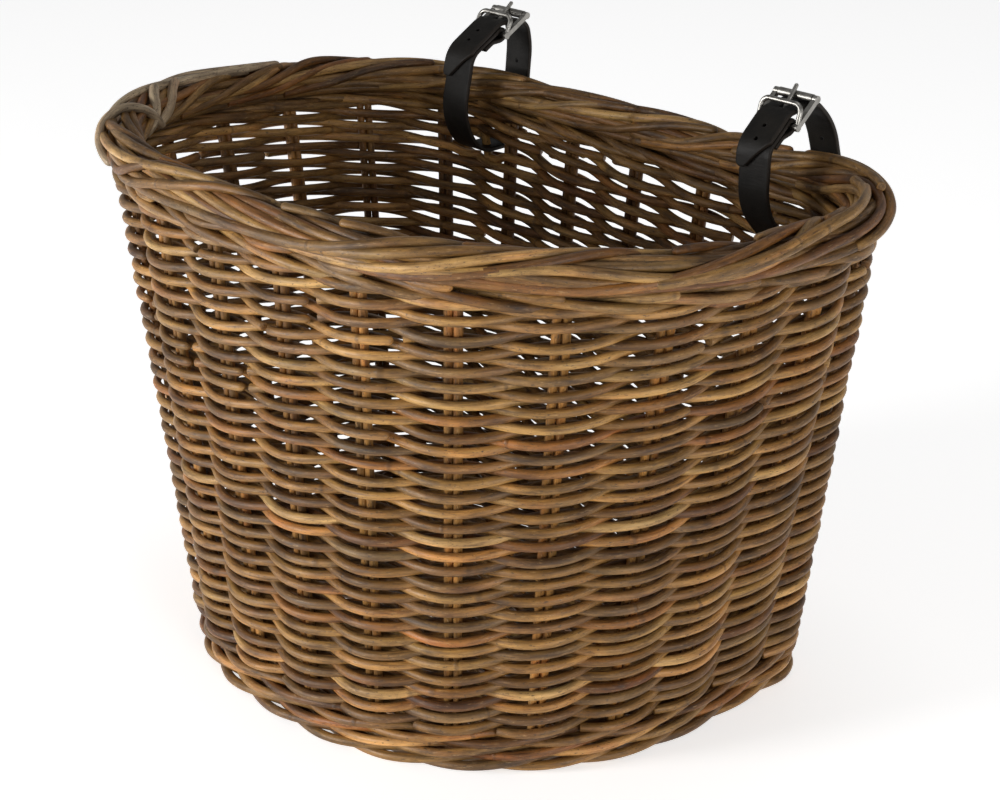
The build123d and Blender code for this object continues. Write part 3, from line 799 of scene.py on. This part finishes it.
def leather(name):
    """Oiled black-brown leather: fine grain, soft creases, browner worn edges."""
    n = Nodes(name)
    hide, place = n.attribute("hide"), n.object_place()
    cloud = n.noise(place, 75.0, 4.0, 0.6)
    pores = n.node("ShaderNodeTexVoronoi", Vector=place, Scale=1900.0)
    fine = n.noise(place, 2600.0, 3.0, 0.6)
    lines = n.noise(n.stretch(hide, (0.75, 0.10, 0.0)), 1.3, 4.0, 0.6)
    base = n.mix(n.span(cloud, 0.35, 0.7), (0.0045, 0.0039, 0.0032, 1), (0.0110, 0.0093, 0.0076, 1))
    base = n.mix(n.span(fine, 0.55, 0.75, 0.0, 0.45), base, (0.026, 0.022, 0.018, 1))
    rough_edge = n.math("MULTIPLY", n.split(hide, 2), n.span(fine, 0.3, 0.7, 0.35, 1.0))
    base = n.mix(n.math("MULTIPLY", rough_edge, 0.7), base, (0.042, 0.032, 0.025, 1))
    height = n.math("ADD", n.math("MULTIPLY", pores, 0.6), n.math("MULTIPLY", lines, 1.2))
    height = n.math("ADD", height, n.math("MULTIPLY", fine, 0.25))
    bump = n.node("ShaderNodeBump", Strength=0.35, Distance=0.00025, Height=height)
    rough = n.span(cloud, 0.3, 0.7, 0.62, 0.44)
    return n.finish(n.node("ShaderNodeBsdfPrincipled", Base_Color=base, Roughness=rough, Normal=bump,
                           Specular_IOR_Level=0.17))


def metal(name):
    """Polished nickel, a little dull, with handling scratches."""
    n = Nodes(name)
    place = n.object_place()
    cloud = n.noise(place, 160.0, 3.0, 0.6)
    scratch = n.noise(n.stretch(place, (600.0, 4200.0, 4200.0)), 1.0, 3.0, 0.7)
    base = n.mix(n.span(cloud, 0.3, 0.7), (0.22, 0.21, 0.19, 1), (0.42, 0.405, 0.375, 1))
    base = n.mix(n.span(scratch, 0.6, 0.7, 0.0, 0.5), base, (0.10, 0.092, 0.08, 1))
    rough = n.math("ADD", n.span(cloud, 0.3, 0.7, 0.30, 0.44), n.span(scratch, 0.55, 0.75, 0.0, 0.14))
    bump = n.node("ShaderNodeBump", Strength=0.15, Distance=0.0001, Height=scratch)
    soft = n.node("ShaderNodeBevel", props=dict(samples=4), Radius=0.0003, Normal=bump)
    return n.finish(n.node("ShaderNodeBsdfPrincipled", Base_Color=base, Metallic=1.0, Roughness=rough,
                           Normal=soft))


strap_leather, buckle_metal = leather("strap_leather"), metal("buckle_metal")
for side, (x, buckle, loop) in STRAPS.items():
    piece = leather_mesh(f"strap_leather_{side}", x, buckle, loop, strap_leather)
    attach(piece, f"strap_{side}")
    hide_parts(f"strap_{side}")
for name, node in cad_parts.items():
    if name.startswith("buckle") or name.startswith("strap_rivet"):
        node.data.materials.clear()
        node.data.materials.append(buckle_metal)

# ---------------------------------------------------------------- floor, light and camera
FLOOR_WHITE, FLOOR_ROUGH, FLOOR_GLOW = (0.92, 0.92, 0.92, 1), 0.9, 0.60
SKY_TOP = 0.75                  # height on the sky at which it stops getting darker
GLOW_AT_HORIZON, GLOW_OVERHEAD = 0.56, 0.14
LIGHTS = (                      # name, place, target, size in metres and power in watts
    ("front_left", (-0.95, -2.0, 0.46), (0, 0, 0.12), 0.7, 42),
    ("right", (2.1, -0.75, 0.46), (0, 0, 0.12), 0.7, 17),
    ("top", (0.0, 0.3, 2.3), (0, 0, 0.1), 1.2, 7),
)
AZIMUTH, ELEVATION, DISTANCE = math.radians(46.4), math.radians(22.9), 1.1712
CAMERA_TARGET = Vector((0, -0.005, 0.1348))
CAMERA_TURN = (math.radians(90 - 22.85), 0, math.radians(45.292))
LENS, SENSOR = 82.9, 36

n = Nodes("floor_white")
floor_white = n.finish(n.node("ShaderNodeBsdfPrincipled", Base_Color=FLOOR_WHITE, Roughness=FLOOR_ROUGH,
                              Emission_Color=(1, 1, 1, 1), Emission_Strength=FLOOR_GLOW))
bpy.ops.mesh.primitive_plane_add(size=30, location=(0, 0, 0))
floor = bpy.context.object
floor.name = "floor"
floor.data.materials.append(floor_white)

world = bpy.data.worlds.new("studio")
bpy.context.scene.world = world
world.use_nodes = True
tree = world.node_tree
sky = tree.nodes.new("ShaderNodeTexCoord")
height = tree.nodes.new("ShaderNodeSeparateXYZ")
fall = tree.nodes.new("ShaderNodeMapRange")
for socket, value in zip(fall.inputs[1:5], (0.0, SKY_TOP, GLOW_AT_HORIZON, GLOW_OVERHEAD)):
    socket.default_value = value
tree.links.new(sky.outputs[0], height.inputs[0])
tree.links.new(height.outputs[2], fall.inputs[0])
tree.links.new(fall.outputs[0], tree.nodes["Background"].inputs[1])
tree.nodes["Background"].inputs[0].default_value = (1, 1, 1, 1)

for name, place, target, size, power in LIGHTS:
    data = bpy.data.lights.new(name, "AREA")
    data.shape, data.size, data.energy = "DISK", size, power
    lamp = bpy.data.objects.new(name, data)
    lamp.location = place
    lamp.rotation_euler = (Vector(target) - Vector(place)).to_track_quat("-Z", "Y").to_euler()
    bpy.context.scene.collection.objects.link(lamp)
bpy.context.scene.view_settings.view_transform = "Standard"

level = math.cos(ELEVATION)
towards_camera = Vector((math.sin(AZIMUTH) * level, -math.cos(AZIMUTH) * level, math.sin(ELEVATION)))
camera_data = bpy.data.cameras.new("camera")
camera_data.lens, camera_data.sensor_width = LENS, SENSOR
camera = bpy.data.objects.new("camera", camera_data)
camera.location = CAMERA_TARGET + towards_camera * DISTANCE
camera.rotation_euler = CAMERA_TURN
bpy.context.scene.collection.objects.link(camera)
bpy.context.scene.camera = camera
